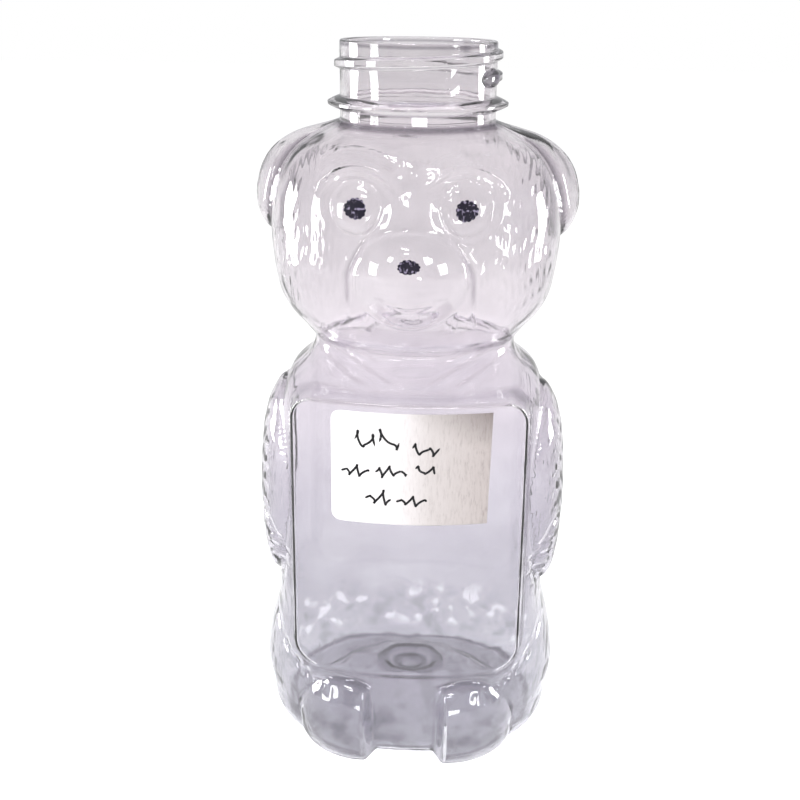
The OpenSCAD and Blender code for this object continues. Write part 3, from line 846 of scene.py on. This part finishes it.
def make_world():
    """White where it is seen, a soft even room where it lights matt surfaces, and dimmer in reflections."""
    world = bpy.data.worlds.new("studio")
    bpy.context.scene.world = world
    world.use_nodes = True
    nodes = world.node_tree.nodes
    links = world.node_tree.links
    nodes.clear()
    white = add_node(nodes, "ShaderNodeBackground", Color=(1, 1, 1, 1), Strength=1.0)
    room = add_node(nodes, "ShaderNodeBackground", Color=(0.95, 0.96, 1, 1), Strength=MIRRORED_ROOM)
    soft = add_node(nodes, "ShaderNodeBackground", Color=(1, 1, 1, 1), Strength=ROOM_LIGHT)
    matt_rays = nodes.new("ShaderNodeLightPath").outputs["Is Diffuse Ray"]
    lit = mix_shaders(nodes, links, matt_rays, room.outputs["Background"], soft.outputs["Background"])
    seen = seen_directly(nodes, links)
    out = nodes.new("ShaderNodeOutputWorld")
    links.new(mix_shaders(nodes, links, seen, lit, white.outputs["Background"]), out.inputs["Surface"])


def add_lamp(name, place, size, power, mirrored=True, lights_room=True):
    """Area lamp aimed at the bottle: mirrored in the plastic, lighting the matt surfaces, or both."""
    light = bpy.data.lights.new(name, "AREA")
    light.shape = "RECTANGLE"
    light.size = size[0]
    light.size_y = size[1]
    light.energy = power
    lamp = bpy.data.objects.new(name, light)
    lamp.location = place
    lamp.visible_camera = False
    lamp.visible_transmission = False
    lamp.visible_glossy = mirrored
    lamp.visible_diffuse = lights_room
    aim = Vector(LAMP_AIM) - Vector(place)
    lamp.rotation_euler = aim.to_track_quat("-Z", "Y").to_euler()
    bpy.context.scene.collection.objects.link(lamp)


def make_camera():
    """Camera fitted to the photograph, which looks down at the bottle from close by."""
    distance = 0.270
    height = 0.1763
    turn = radians(2.4)
    pitch = radians(19.16)
    roll = radians(0.8)
    focal_pixels = 1177.0
    image_pixels = 800.0
    axis_column = 414.0
    axis_row = 394.1
    camera = bpy.data.cameras.new("camera")
    camera.sensor_width = 36.0
    camera.lens = focal_pixels / image_pixels * camera.sensor_width
    camera.shift_x = (image_pixels / 2 - axis_column) / image_pixels
    camera.shift_y = (axis_row - image_pixels / 2) / image_pixels
    camera.clip_start = 0.01
    camera.dof.use_dof = False
    place = bpy.data.objects.new("camera", camera)
    stand = Matrix.Translation((distance * sin(turn), SETBACK - distance * cos(turn), height))
    look = Matrix.Rotation(turn, 4, "Z") @ Matrix.Rotation(pi / 2 - pitch, 4, "X")
    place.matrix_world = stand @ look @ Matrix.Rotation(roll, 4, "Z")
    bpy.context.scene.collection.objects.link(place)
    bpy.context.scene.camera = place


def dress(piece, slot, *nodes):
    """Puts a piece on its body and hides the nodes it takes the place of; its slot is not used."""
    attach(piece, "root")
    if nodes:
        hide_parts(*nodes)


SCRATCHES = fine_scratches()
CLEAR = make_clear_plastic(SCRATCHES)
PAPER = make_paper()
FACE_INK = make_ink("face_ink", (0.006, 0.004, 0.014), (0.22, 0.19, 0.28), 0.6, SCRATCHES)
PEN_INK = make_ink("pen_ink", (0.01, 0.01, 0.012), (0.08, 0.08, 0.09), 0.7, SCRATCHES)

dress(make_bottle(CLEAR), "clear_pet", "bear_shell", "neck_finish")
dress(make_label(PAPER), "label_paper", "paper_label")
dress(make_ink_spot("printed_left_eye", EYE_X, EYE_LEVEL, EYE_SIZE, EYE_HEIGHT, 0.7, FACE_INK),
      "face_ink", "left_eye")
dress(make_ink_spot("printed_right_eye", -EYE_X, EYE_LEVEL, EYE_SIZE, EYE_HEIGHT, 2.1, FACE_INK),
      "face_ink", "right_eye")
dress(make_ink_spot("printed_nose", 0, NOSE_LEVEL, NOSE_WIDTH, NOSE_HEIGHT, 4.4, FACE_INK),
      "face_ink", "nose")
for row, strokes in enumerate(PEN_ROWS):
    for place, stroke in enumerate(strokes):
        line = make_pen_line(f"pen_line_{row}_{place}", scribble(*stroke), PEN_INK)
        dress(line, "face_ink")

make_floor()
make_world()
add_lamp("left_window", (-0.45, -0.22, 0.16), (0.12, 0.24), 1.3)
add_lamp("right_strip", (0.42, -0.29, 0.22), (0.11, 0.20), 1.0)
add_lamp("front_high", (-0.12, -0.42, 0.46), (0.12, 0.05), 0.35)
add_lamp("front_low", (0.05, -0.52, 0.06), (0.22, 0.08), 0.8, lights_room=False)
add_lamp("overhead", (0.05, -0.12, 0.62), (0.35, 0.22), 0.8, mirrored=False)
add_lamp("overhead_strip", (-0.14, -0.32, 0.55), (0.22, 0.03), 0.8, lights_room=False)
add_lamp("left_low", (-0.42, 0.10, 0.11), (0.14, 0.21), 2.2, lights_room=False)
add_lamp("right_low", (0.42, 0.12, 0.12), (0.10, 0.20), 1.3, lights_room=False)
make_camera()
bpy.context.scene.view_settings.view_transform = "Standard"
